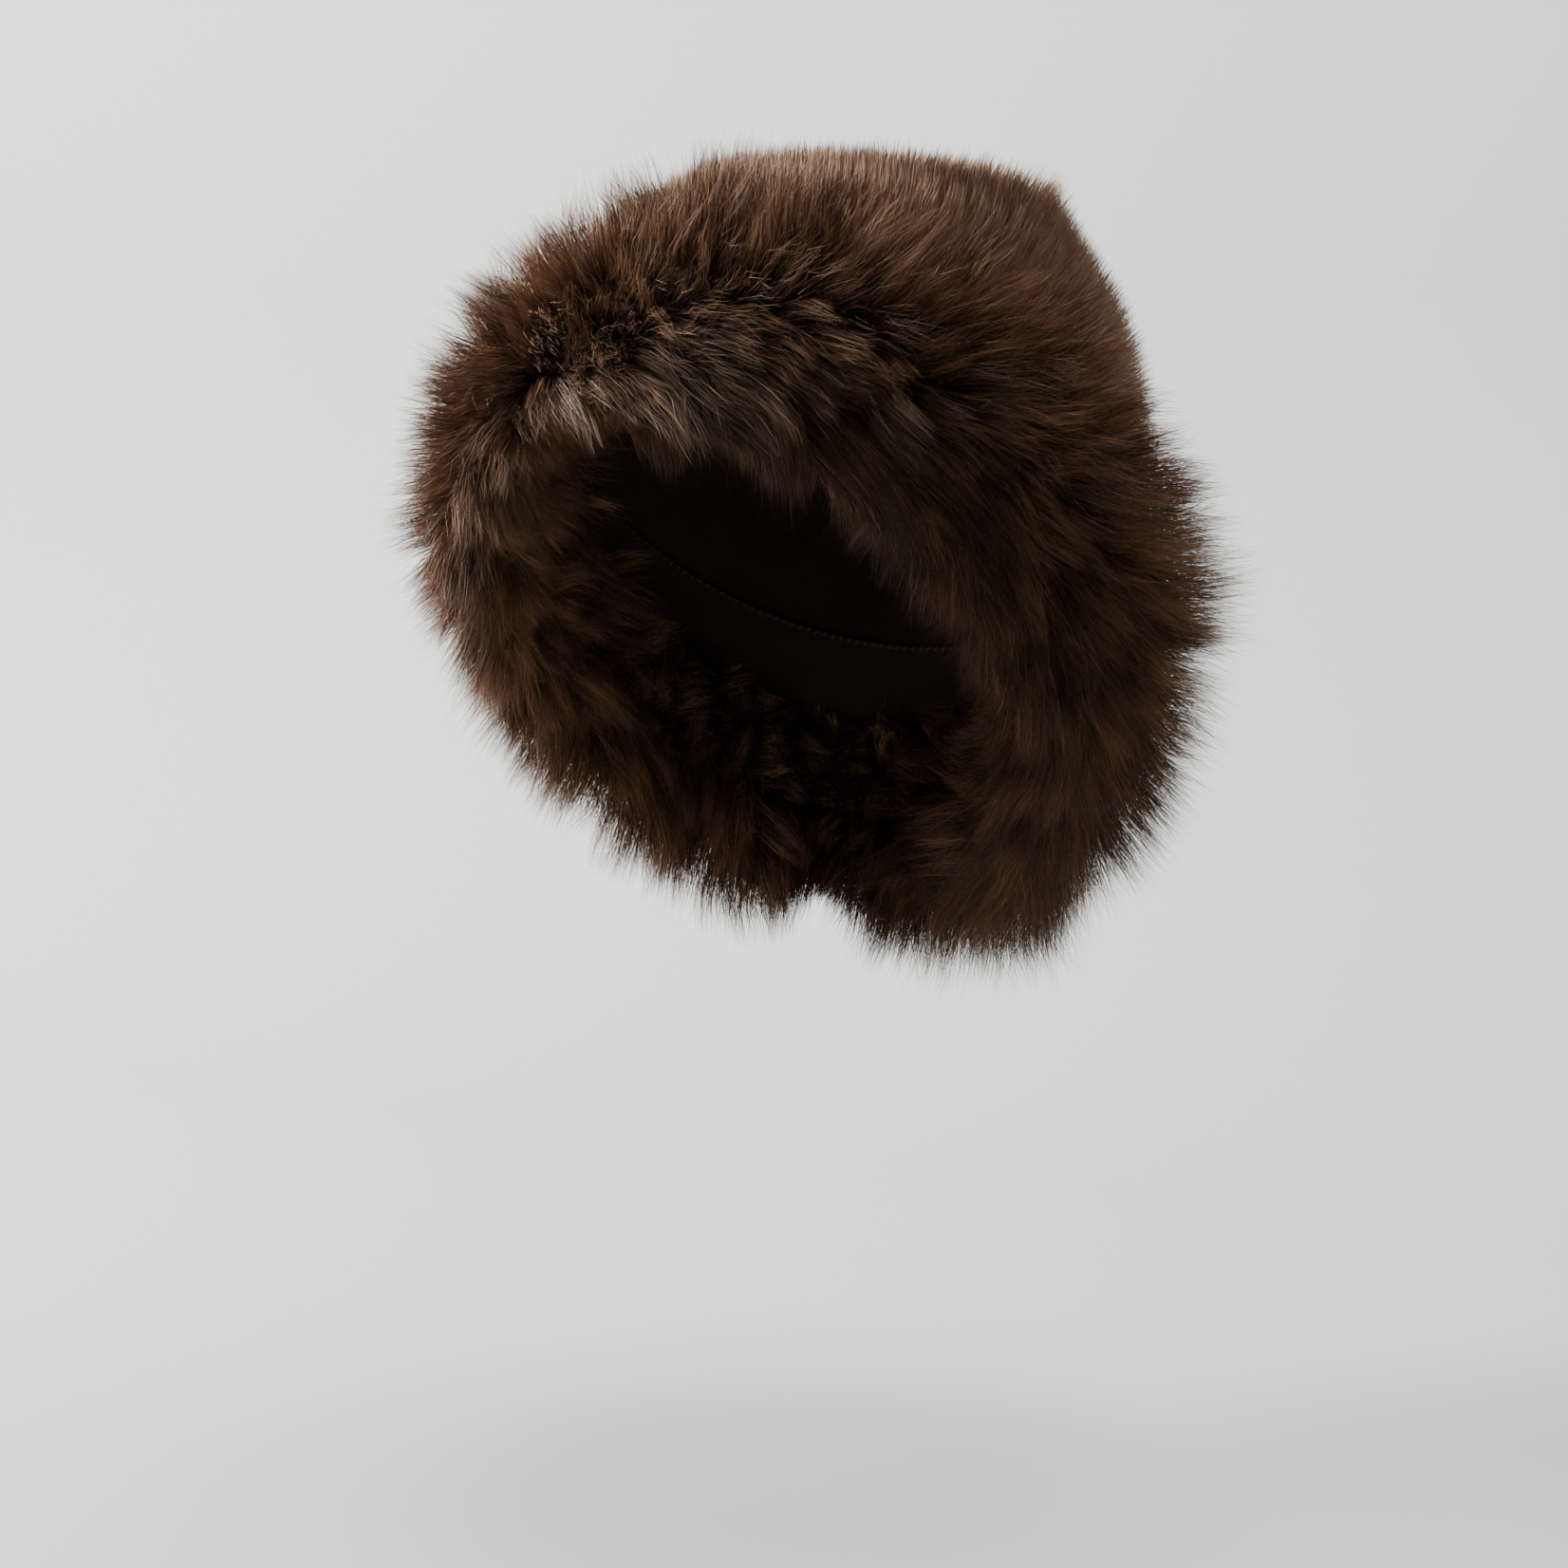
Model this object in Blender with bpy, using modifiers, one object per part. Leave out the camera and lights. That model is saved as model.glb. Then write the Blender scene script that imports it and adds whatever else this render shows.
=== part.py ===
"""A fur bonnet hat: a short-haired crown with a small flat tip, and a deep brim in long hair.

Metres, +Z up, the front of the hat towards -Y, the wearer's left towards +X.
The origin is where the top of a head sits, on the inner face of the crown's tip.
The hat keeps the form that it has on a head: tilted back, with its brim round the face.
"""

import math
from collections import namedtuple

import bmesh
import bpy
import numpy as np

# Driving dimensions, in metres
HAT_WIDTH = 0.240  # across the skin of the brim, where it is widest
HAT_LENGTH = 0.292  # front to back along the brim's lower edge, which is tilted
HAT_HEIGHT = 0.171  # from the middle of the brim's lower edge up to the tip
TIP_DOME = 0.006  # how far the tip rises over its own edge
SKIN = 0.0022  # thickness of the leather that the hair grows on
SEAM_GAP = 0.0006  # between neighbouring skins at a seam
HAIR_SEAM_GAP = 0.0012  # from a seam to the first lock of the hair below it
HAIR_GAP = 0.0005  # between the skin and the underside of a hair piece
FACING_GAP = 0.0010  # the same on the brim's inner face
EDGE_GAP = 0.0015  # the same round the brim's lower edge
TIP_PILE = 0.014  # length of the hair on the tip
CROWN_PILE = 0.016  # length of the hair on the crown's side
BRIM_PILE = 0.041  # length of the hair on the brim
NAPE_PILE = 0.033  # the same at the nape, where it lies closer
NAPE_EXTRA = 0.007  # added to the nape's hair on the outer face
CHEEK_EXTRA = 0.012  # added to the outer face's hair beside the cheeks, on both sides
FACING_DEPTH = 0.062  # how far the brim's hair reaches up its inner face
LOCKS_ROUND = 28  # locks in each row round the hat
TIP_LOCK_ROWS = 3
CROWN_LOCK_ROWS = 6
BRIM_LOCK_ROWS = 4  # on the outer face
FACING_LOCK_ROWS = 3  # on the inner face
VALLEY_SHARE = 0.60  # height of the hollows between rows of locks, as a share of the hair's length
BETWEEN_SHARE = 0.72  # height of the hollows between the locks of a row, as the same share
CROWN_LEAN_DEGREES = 24.0  # how far the crown's hair leans up towards the tip
BRIM_LEAN_DEGREES = 18.0  # how far the brim's hair leans away from its lower edge
PARTING_DEGREES = 193.0  # round from the front, where the brim's hair parts at the nape
PARTING_SPREAD_DEGREES = 7.0
CHEEK_DEGREES = 122.0  # round from the front to the middle of the longer hair
CHEEK_SPREAD_DEGREES = 46.0
PARTING_SHARE = 0.55  # how much of the hair's length is missing in the parting
FAN_POWER = 0.6  # how soon the brim's hair turns over near its edge; less is sooner
TIP_CORNER_POWER = 3  # how soon the tip's hair turns out near the tip's edge; more is later
CROWN_CORNER_POWER = 8  # the same for the crown's hair

# The skin's cross-sections, from the tip down to the brim's lower edge. Each is an ellipse, tilted
# with its front up. up is a share of HAT_HEIGHT, wide of HAT_WIDTH, and forward and long of
# HAT_LENGTH; wide and long are half axes. tilt is in degrees.
Section = namedtuple("Section", "place up forward tilt wide long")
SECTIONS = (
    Section(0.0, 1.00, -0.120, 3.0, 0.250, 0.240),
    Section(0.5, 0.68, -0.092, 27.0, 0.410, 0.362),
    Section(1.0, 0.38, 0.030, 39.0, 0.470, 0.401),
    Section(1.5, 0.20, 0.110, 42.0, 0.500, 0.462),
    Section(2.0, 0.00, 0.171, 42.0, 0.478, 0.500),
)
TIP_EDGE, SEAM, RIM = 0.0, 1.0, 2.0
SIDE_ROWS = 8
BRIM_ROWS = 6
TIP_ROWS = 3
COLUMNS = 2 * LOCKS_ROUND

HAIR_BROWN = (0.055, 0.030, 0.018)
CROWN_BROWN = (0.098, 0.060, 0.040)
SKIN_BROWN = (0.040, 0.024, 0.018)


def smooth_row(place):
    """The section at any place between the rows of SECTIONS, on a curve through them."""
    rows = np.array(SECTIONS)
    step = rows[1, 0] - rows[0, 0]
    at = min(max((place - rows[0, 0]) / step, 0.0), len(rows) - 1.0)
    i = min(int(at), len(rows) - 2)
    s = at - i
    before = rows[i - 1] if i > 0 else 2 * rows[0] - rows[1]
    after = rows[i + 2] if i + 2 < len(rows) else 2 * rows[-1] - rows[-2]
    a, b = rows[i], rows[i + 1]
    slope_a, slope_b = (b - before) / 2, (after - a) / 2
    return Section(
        *(
            (2 * s**3 - 3 * s**2 + 1) * a
            + (s**3 - 2 * s**2 + s) * slope_a
            + (3 * s**2 - 2 * s**3) * b
            + (s**3 - s**2) * slope_b
        )
    )


def skin_point(place, angle):
    """A point on the outer face of the skin. angle goes round from the front to the left."""
    row = smooth_row(place)
    tilt = math.radians(row.tilt)
    along = row.long * HAT_LENGTH * math.cos(angle)
    return np.array(
        [
            row.wide * HAT_WIDTH * math.sin(angle),
            -row.forward * HAT_LENGTH - along * math.cos(tilt),
            row.up * HAT_HEIGHT + along * math.sin(tilt) - seat_height(),
        ]
    )


def tip_plane_height(y):
    """The height of the tip's edge plane at y, before the origin is moved to the head's seat."""
    row = SECTIONS[0]
    middle = -row.forward * HAT_LENGTH
    return row.up * HAT_HEIGHT + (middle - y) * math.tan(math.radians(row.tilt))


def dome_share(out):
    """How much of TIP_DOME is left at a share of the way out to the tip's edge."""
    return 1.0 - out**2


def seat_height():
    """The height of the tip's inner face over the middle of a head, at y = 0."""
    row = SECTIONS[0]
    out = abs(row.forward) / row.long
    return tip_plane_height(0.0) + TIP_DOME * dome_share(out) - SKIN


def unit(vector):
    return vector / np.linalg.norm(vector)


def skin_frame(place, angle):
    """The skin's point, its outward normal and the way down it, towards the brim's edge."""
    near = 0.01
    low, high = max(place - near, TIP_EDGE), min(place + near, RIM)
    down = unit(skin_point(high, angle) - skin_point(low, angle))
    round_way = skin_point(place, angle + near) - skin_point(place, angle - near)
    return skin_point(place, angle), unit(np.cross(down, round_way)), down


def tip_frame(out, angle):
    """The same on the tip, at a share of the way from its middle to its edge."""
    edge = skin_point(TIP_EDGE, angle)
    middle = (skin_point(TIP_EDGE, 0.0) + skin_point(TIP_EDGE, math.pi)) / 2
    tilt = math.radians(SECTIONS[0].tilt)
    up = np.array([0.0, math.sin(tilt), math.cos(tilt)])
    radial = edge - middle
    point = middle + radial * out + up * TIP_DOME * dome_share(out)
    slope = 2 * TIP_DOME * out / np.linalg.norm(radial)
    outward = unit(unit(radial) - up * slope)
    return point, unit(up + unit(radial) * slope), outward


def angles():
    return [2 * math.pi * j / COLUMNS for j in range(COLUMNS)]


def add_piece(name, vertices, faces, colour, roughness):
    """Makes one named object with its own material, in the hat's collection."""
    mesh = bpy.data.meshes.new(name)
    mesh.from_pydata([tuple(v) for v in vertices], [], faces)
    shape = bmesh.new()
    shape.from_mesh(mesh)
    bmesh.ops.recalc_face_normals(shape, faces=shape.faces)
    shape.to_mesh(mesh)
    shape.free()
    piece = bpy.data.objects.new(name, mesh)
    bpy.data.collections["fur_bonnet_hat"].objects.link(piece)
    material = bpy.data.materials.new(name)
    material.use_nodes = True
    surface = material.node_tree.nodes["Principled BSDF"]
    surface.inputs["Base Color"].default_value = (*colour, 1.0)
    surface.inputs["Roughness"].default_value = roughness
    mesh.materials.append(material)
    return piece


def grid_faces(rows, first=0, flip=False):
    """Quads between rings of COLUMNS vertices, the first ring starting at vertex first."""
    faces = []
    for i in range(rows - 1):
        for j in range(COLUMNS):
            k = (j + 1) % COLUMNS
            a, b = first + i * COLUMNS, first + (i + 1) * COLUMNS
            face = (a + j, b + j, b + k, a + k)
            faces.append(face[::-1] if flip else face)
    return faces


def add_skin(name, rings, middle=None):
    """A leather wall: an open surface through the rings, thickened inwards."""
    vertices = [p for ring in rings for p in ring]
    faces = grid_faces(len(rings))
    if middle is not None:
        vertices.append(middle)
        top = len(vertices) - 1
        faces += [(top, j, (j + 1) % COLUMNS) for j in range(COLUMNS)]
    piece = add_piece(name, vertices, faces, SKIN_BROWN, 0.85)
    outward = piece.data.polygons[0]
    centre = np.mean(vertices, axis=0)
    if np.dot(outward.normal, np.array(outward.center) - centre) < 0:
        piece.data.flip_normals()
    wall = piece.modifiers.new("thickness", "SOLIDIFY")
    wall.thickness = SKIN
    wall.offset = -1.0
    wall.use_even_offset = True
    piece.data.shade_smooth()
    return piece


def lock_height(row, column):
    """1 at the point of a lock, and less between the points and between the rows."""
    if row % 2 == 0:
        return VALLEY_SHARE
    pointed = (column + row // 2) % 2 == 0
    return 1.0 if pointed else BETWEEN_SHARE


def brim_pile(share, angle):
    """The length of the brim's hair: most beside the cheeks, less at the nape and in its parting.

    share is the place on the brim, as brim_path takes it. The inner face keeps its hair shorter.
    """
    nape = ((1 - math.cos(angle)) / 2) ** 2
    length = BRIM_PILE + (NAPE_PILE - BRIM_PILE) * nape
    round_degrees = min(math.degrees(angle), 360.0 - math.degrees(angle))
    off_cheek = (round_degrees - CHEEK_DEGREES) / CHEEK_SPREAD_DEGREES
    extra = CHEEK_EXTRA * math.exp(-off_cheek * off_cheek) + NAPE_EXTRA * nape
    length += extra * min(max(3.0 - 2.0 * share, 0.0), 1.0)
    off_parting = (math.degrees(angle) - PARTING_DEGREES) / PARTING_SPREAD_DEGREES
    return length * (1.0 - PARTING_SHARE * math.exp(-off_parting * off_parting))


def add_hair(name, base_rings, hair_rings, colour, closed_top=None):
    """A hair piece: its underside through base_rings, its locks through hair_rings.

    closed_top is the pair of middle points, under and over, of a piece that covers its middle.
    """
    under = [p for ring in base_rings for p in ring]
    over = [p for ring in hair_rings for p in ring]
    vertices = under + over
    start = len(under)
    faces = grid_faces(len(base_rings), flip=True) + grid_faces(len(hair_rings), first=start)
    last_under, last_over = start - COLUMNS, len(vertices) - COLUMNS
    for j in range(COLUMNS):
        k = (j + 1) % COLUMNS
        faces.append((last_under + j, last_under + k, last_over + k, last_over + j))
        if closed_top is None:
            faces.append((j, start + j, start + k, k))
    if closed_top is not None:
        vertices += list(closed_top)
        low, high = len(vertices) - 2, len(vertices) - 1
        for j in range(COLUMNS):
            k = (j + 1) % COLUMNS
            faces.append((low, k, j))
            faces.append((high, start + j, start + k))
    return add_piece(name, vertices, faces, colour, 0.7)


def corner_way(angle):
    """The way out between the tip's hair and the crown's, halfway between their normals."""
    return unit(tip_frame(1.0, angle)[1] + skin_frame(TIP_EDGE, angle)[1])


def make_skins():
    """The leather walls: the tip, the crown's side and the brim."""
    inset = (SKIN + SEAM_GAP) / (SECTIONS[0].wide * HAT_WIDTH)
    outs = [(1.0 - inset) * (i + 1) / TIP_ROWS for i in range(TIP_ROWS)]
    rings = [[tip_frame(out, a)[0] for a in angles()] for out in outs]
    add_skin("crown_tip", rings, middle=tip_frame(0.0, 0.0)[0])

    places = np.linspace(TIP_EDGE, SEAM, SIDE_ROWS + 1)
    rings = [[skin_point(p, a) for a in angles()] for p in places]
    add_skin("crown_side", rings)

    places = np.linspace(SEAM, RIM, BRIM_ROWS + 1)
    rings = []
    for place in places:
        ring = []
        for a in angles():
            point, _, down = skin_frame(place, a)
            ring.append(point + down * SEAM_GAP if place == SEAM else point)
        rings.append(ring)
    add_skin("brim", rings)


def make_tip_hair():
    base_rings, hair_rings = [], []
    for i in range(TIP_ROWS):
        out = (i + 1) / TIP_ROWS
        base_rings.append([frame[0] + frame[1] * HAIR_GAP for frame in tip_ring(out)])
    rows = 2 * TIP_LOCK_ROWS
    for i in range(1, rows + 1):
        out = i / rows
        ring = []
        for j, (a, frame) in enumerate(zip(angles(), tip_ring(out))):
            outer = out**TIP_CORNER_POWER
            way = unit(frame[1] * (1 - outer) + corner_way(a) * outer)
            high = TIP_PILE * (lock_height(i, j) if i < rows else VALLEY_SHARE)
            ring.append(frame[0] + way * (HAIR_GAP + high))
        hair_rings.append(ring)
    middle, up, _ = tip_frame(0.0, 0.0)
    tops = (middle + up * HAIR_GAP, middle + up * (HAIR_GAP + TIP_PILE * VALLEY_SHARE))
    add_hair("tip_fur", base_rings, hair_rings, CROWN_BROWN, closed_top=tops)


def tip_ring(out):
    return [tip_frame(out, a) for a in angles()]


def make_crown_hair():
    """Short hair down the crown's side, from the tip's edge to the seam with the brim."""
    lean = math.radians(CROWN_LEAN_DEGREES)
    base_rings = []
    for place in np.linspace(TIP_EDGE, SEAM, SIDE_ROWS + 1):
        ring = []
        for a in angles():
            point, normal, down = skin_frame(place, a)
            shift = down * HAIR_SEAM_GAP if place == TIP_EDGE else 0.0
            ring.append(point + normal * HAIR_GAP + shift)
        base_rings.append(ring)
    hair_rings = []
    rows = 2 * CROWN_LOCK_ROWS
    for i in range(rows + 1):
        share = i / rows
        ring = []
        for j, a in enumerate(angles()):
            point, normal, down = skin_frame(TIP_EDGE + (SEAM - TIP_EDGE) * share, a)
            way = normal * math.cos(lean) - down * math.sin(lean)
            start = (1 - share) ** CROWN_CORNER_POWER
            way = unit(way * (1 - start) + corner_way(a) * start)
            shift = down * HAIR_SEAM_GAP if i == 0 else 0.0
            edge = i in (0, rows)
            high = CROWN_PILE * (VALLEY_SHARE if edge else lock_height(i, j))
            ring.append(point + shift + normal * HAIR_GAP + way * high)
        hair_rings.append(ring)
    add_hair("crown_fur", base_rings, hair_rings, CROWN_BROWN)


def brim_path(share, angle):
    """The underside of the brim's hair and the way the hair grows there.

    share runs from 0 at the seam over 1 at the brim's edge to 2 at the end of the facing.
    """
    depth = np.linalg.norm(skin_point(SEAM, angle) - skin_point(RIM, angle))
    inner = FACING_DEPTH / depth * (RIM - SEAM)
    place = SEAM + (RIM - SEAM) * share if share <= 1 else RIM - inner * (share - 1)
    point, normal, down = skin_frame(place, angle)
    lean = math.radians(BRIM_LEAN_DEGREES)
    fan = math.copysign(abs(1 - share) ** FAN_POWER, 1 - share)
    turn = math.pi / 2 - (math.pi / 2 + lean) * fan
    way = normal * math.cos(turn) + down * math.sin(turn)
    if share < 1:
        shift = down * HAIR_SEAM_GAP if share == 0 else 0.0
        return point + normal * HAIR_GAP + shift, way
    if share == 1:
        return point - normal * SKIN / 2 + down * EDGE_GAP, down
    return point - normal * (SKIN + FACING_GAP), way


def make_brim_hair():
    """Long hair on both faces of the brim, in one piece that wraps round its edge."""
    base_rings = []
    outer = [i / BRIM_ROWS for i in range(BRIM_ROWS)]
    inner = [1 + (i + 1) / BRIM_ROWS for i in range(BRIM_ROWS)]
    nearly = 1e-6
    for share in outer + [1 - nearly, 1.0, 1 + nearly] + inner:
        base_rings.append([brim_path(share, a)[0] for a in angles()])
    hair_rings = []
    outer_rows = 2 * BRIM_LOCK_ROWS
    inner_rows = 2 * FACING_LOCK_ROWS
    shares = [i / outer_rows for i in range(outer_rows + 1)]
    shares += [1 + (i + 1) / inner_rows for i in range(inner_rows)]
    last = len(shares) - 1
    for i, share in enumerate(shares):
        ring = []
        for j, a in enumerate(angles()):
            point, way = brim_path(share, a)
            high = brim_pile(share, a)
            if i in (0, last):
                high *= VALLEY_SHARE / 2 if i == last else VALLEY_SHARE
            else:
                high *= lock_height(i + 1, j)
            ring.append(point + way * high)
        hair_rings.append(ring)
    add_hair("brim_fur", base_rings, hair_rings, HAIR_BROWN)


def main():
    for thing in list(bpy.data.objects):
        bpy.data.objects.remove(thing, do_unlink=True)
    collection = bpy.data.collections.new("fur_bonnet_hat")
    bpy.context.scene.collection.children.link(collection)
    make_skins()
    make_tip_hair()
    make_crown_hair()
    make_brim_hair()


main()
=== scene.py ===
import math

import bmesh
import bpy
import numpy as np
from mathutils import Matrix, Vector


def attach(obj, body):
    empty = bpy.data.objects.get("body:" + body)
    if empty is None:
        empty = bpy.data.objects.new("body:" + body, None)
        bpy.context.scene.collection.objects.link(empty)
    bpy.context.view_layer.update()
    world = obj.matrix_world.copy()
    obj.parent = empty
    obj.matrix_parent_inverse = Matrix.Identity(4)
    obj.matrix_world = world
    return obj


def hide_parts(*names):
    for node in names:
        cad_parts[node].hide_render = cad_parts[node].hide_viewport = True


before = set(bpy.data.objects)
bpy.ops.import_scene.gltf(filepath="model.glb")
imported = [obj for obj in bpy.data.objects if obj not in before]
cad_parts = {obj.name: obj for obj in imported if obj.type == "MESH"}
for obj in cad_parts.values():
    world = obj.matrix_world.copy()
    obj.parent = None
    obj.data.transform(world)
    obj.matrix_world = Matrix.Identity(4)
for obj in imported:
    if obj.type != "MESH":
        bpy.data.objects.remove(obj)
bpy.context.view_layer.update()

# Fur bonnet hat: leather skins come from the CAD model, and real strands stand in for its locks.
# Metres, +Z up, the front of the hat towards -Y. The origin is where the top of a head sits.

hat = {
    "width": 0.240,  # across the brim's skin where it is widest
    "length": 0.292,  # front to back along the brim's tilted edge
    "height": 0.171,  # from the middle of the brim's edge up to the tip
    "tipDome": 0.006,
    "skin": 0.0022,
    "seat": 0.17514,  # height of the head's seat over the middle of the brim's edge
    "facingDepth": 0.062,
    "edgeTurn": 0.02,  # share of the brim over which roots pass from one face to the other
}
# place, up, forward, tilt, wide, long: the skin's sections from the tip to the brim's edge
sections = np.array([
    (0.0, 1.00, -0.120, 3.0, 0.250, 0.240),
    (0.5, 0.68, -0.092, 27.0, 0.410, 0.362),
    (1.0, 0.38, 0.030, 39.0, 0.470, 0.401),
    (1.5, 0.20, 0.110, 42.0, 0.500, 0.462),
    (2.0, 0.00, 0.171, 42.0, 0.478, 0.500),
])
sectionStep = sections[1, 0] - sections[0, 0]
tipPlace = sections[0, 0]
seamPlace = 1.0
edgePlace = sections[-1, 0]


def sectionAt(place):
    # Smooth curve through the rows above
    at = np.clip(place / sectionStep, 0.0, len(sections) - 1.0)
    i = np.minimum(at.astype(int), len(sections) - 2)
    s = (at - i)[..., None]
    rows = np.vstack([2 * sections[0] - sections[1], sections, 2 * sections[-1] - sections[-2]])
    before, a, b, after = rows[i], rows[i + 1], rows[i + 2], rows[i + 3]
    slopeA, slopeB = (b - before) / 2, (after - a) / 2
    return ((2 * s**3 - 3 * s**2 + 1) * a + (s**3 - 2 * s**2 + s) * slopeA
            + (3 * s**2 - 2 * s**3) * b + (s**3 - s**2) * slopeB)


def skinPoint(place, angle):
    row = sectionAt(place)
    tilt = np.radians(row[..., 3])
    along = row[..., 5] * hat["length"] * np.cos(angle)
    return np.stack([
        row[..., 4] * hat["width"] * np.sin(angle),
        -row[..., 2] * hat["length"] - along * np.cos(tilt),
        row[..., 1] * hat["height"] + along * np.sin(tilt) - hat["seat"],
    ], -1)


def unit(v):
    return v / np.linalg.norm(v, axis=-1, keepdims=True)


def skinFrame(place, angle):
    # Point, outward normal and the way down the skin, towards the brim's edge
    near = 0.01  # of a place, and in radians round the hat
    down = unit(skinPoint(np.minimum(place + near, edgePlace), angle)
                - skinPoint(np.maximum(place - near, tipPlace), angle))
    roundWay = skinPoint(place, angle + near) - skinPoint(place, angle - near)
    return skinPoint(place, angle), unit(np.cross(down, roundWay)), down


def tipFrame(out, angle):
    edge = skinPoint(np.full_like(angle, tipPlace), angle)
    middle = skinPoint(np.full(2, tipPlace), np.array([0.0, math.pi])).mean(0)
    tilt = math.radians(sections[0, 3])
    up = np.array([0.0, math.sin(tilt), math.cos(tilt)])
    radial = edge - middle
    point = middle + radial * out[..., None] + up * hat["tipDome"] * (1 - out[..., None]**2)
    slope = 2 * hat["tipDome"] * out[..., None] / np.linalg.norm(radial, axis=-1, keepdims=True)
    return point, unit(up + unit(radial) * slope), unit(unit(radial) - up * slope)


def brimFrame(share, angle):
    # share runs from 0 at the seam over 1 at the brim's edge to 2 where the facing ends
    depth = np.linalg.norm(skinPoint(np.full_like(angle, seamPlace), angle)
                           - skinPoint(np.full_like(angle, edgePlace), angle), axis=-1)
    inner = hat["facingDepth"] / depth
    place = np.where(share <= 1, seamPlace + share, edgePlace - inner * (share - 1))
    point, normal, down = skinFrame(place, angle)
    turned = (share - 1 + hat["edgeTurn"] / 2) / hat["edgeTurn"]
    inside = np.clip(turned, 0, 1)[..., None]
    return point - normal * hat["skin"] * inside, normal, down


# Growth surfaces: a grid over part of the skin that knows which way its hair grows

def growthSurface(name, rows, columns, frameAt, combed):
    share, angle = np.meshgrid(rows, np.linspace(0, 2 * math.pi, columns, endpoint=False),
                               indexing="ij")
    point, normal, down = frameAt(share, angle)
    way, out, length, tone = combed(share, angle, point, normal, down)
    count = len(rows)
    faces = [(i * columns + j, i * columns + (j + 1) % columns,
              (i + 1) * columns + (j + 1) % columns, (i + 1) * columns + j)
             for i in range(count - 1) for j in range(columns)]
    mesh = bpy.data.meshes.new(name)
    mesh.from_pydata(point.reshape(-1, 3).tolist(), [], faces)
    for label, values in (("way", way), ("out", out)):
        mesh.attributes.new(label, "FLOAT_VECTOR", "POINT").data.foreach_set(
            "vector", values.reshape(-1).astype(np.float32))
    for label, values in (("hairLength", length), ("tone", tone)):
        mesh.attributes.new(label, "FLOAT", "POINT").data.foreach_set(
            "value", values.reshape(-1).astype(np.float32))
    piece = bpy.data.objects.new(name, mesh)
    bpy.context.scene.collection.objects.link(piece)
    return piece


# Hair tree: scatters roots on a growth surface and bends one ribbon for each of them

strand = {
    "noiseGain": 3.0,  # brings the noise to about -1 to 1
    "lockShare": 0.6,  # of a strand's shared chance; its wisp gives the rest
    "longest": 1.05,
    "twist": 0.9,  # how freely the flat side turns
    "lockTone": 0.5,
    "wispTone": 1.0,
    "ownTone": 0.6,
    "toneMargin": 0.02,
    "taper": 0.7,
    "mergeGap": 0.0001,
    "wispCurve": 0.9,
    "lockCurve": 1.3,
    "fineScale": 2.3,  # of the wave's scale
    "fineShare": 0.6,  # of the wave's size
    "mapMargin": 0.02,
}
hairInputs = {
    "Density": 100.0, "Lock Spacing": 0.008, "Lock Pull": 0.5, "Wisp Spacing": 0.003,
    "Wisp Pull": 0.5, "Lock Spread": 0.3, "Spread": 0.2, "Swirl": 0.3, "Swirl Scale": 20.0,
    "Wave": 0.1, "Wave Scale": 60.0, "Sag": 0.2, "Length Variation": 0.3,
    "Lock Variation": 0.25, "Tone Variation": 0.3, "Width": 0.0004, "Bends": 3, "Seed": 1,
}


class Builder:
    def __init__(self, tree):
        self.tree = tree

    def add(self, kind, inputs=None, **settings):
        node = self.tree.nodes.new(kind)
        for key, value in settings.items():
            setattr(node, key, value)
        for key, value in (inputs or {}).items():
            self.feed(node.inputs[key], value)
        return node

    def feed(self, socket, value):
        if isinstance(value, bpy.types.NodeSocket):
            self.tree.links.new(value, socket)
        else:
            socket.default_value = value

    def number(self, operation, *values):
        node = self.add("ShaderNodeMath", operation=operation)
        for socket, value in zip(node.inputs, values):
            self.feed(socket, value)
        return node.outputs[0]

    def vector(self, operation, *values, scale=None):
        node = self.add("ShaderNodeVectorMath", operation=operation)
        for socket, value in zip(node.inputs, values):
            self.feed(socket, value)
        if scale is not None:
            self.feed(node.inputs["Scale"], scale)
        return node.outputs["Vector"]

    def named(self, name, kind="FLOAT_VECTOR"):
        return self.add("GeometryNodeInputNamedAttribute", {"Name": name},
                        data_type=kind).outputs["Attribute"]

    def store(self, geometry, name, value, kind="FLOAT_VECTOR", domain="POINT"):
        return self.add("GeometryNodeStoreNamedAttribute",
                        {"Geometry": geometry, "Name": name, "Value": value},
                        data_type=kind, domain=domain).outputs["Geometry"]

    def noise(self, position, scale):
        # Smooth vector noise from about -1 to 1
        node = self.add("ShaderNodeTexNoise", {"Vector": position, "Scale": scale, "Detail": 1.0},
                        noise_dimensions="3D")
        centred = self.vector("SUBTRACT", node.outputs["Color"], (0.5, 0.5, 0.5))
        return self.vector("SCALE", centred, scale=strand["noiseGain"])

    def randomVector(self, seed):
        node = self.add("FunctionNodeRandomValue", {"Min": (-1.0, -1.0, -1.0),
                                                    "Max": (1.0, 1.0, 1.0), "Seed": seed},
                        data_type="FLOAT_VECTOR")
        return node.outputs["Value"]

    def randomNumber(self, seed):
        node = self.add("FunctionNodeRandomValue", {"Seed": seed}, data_type="FLOAT")
        return node.outputs[1]


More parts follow.
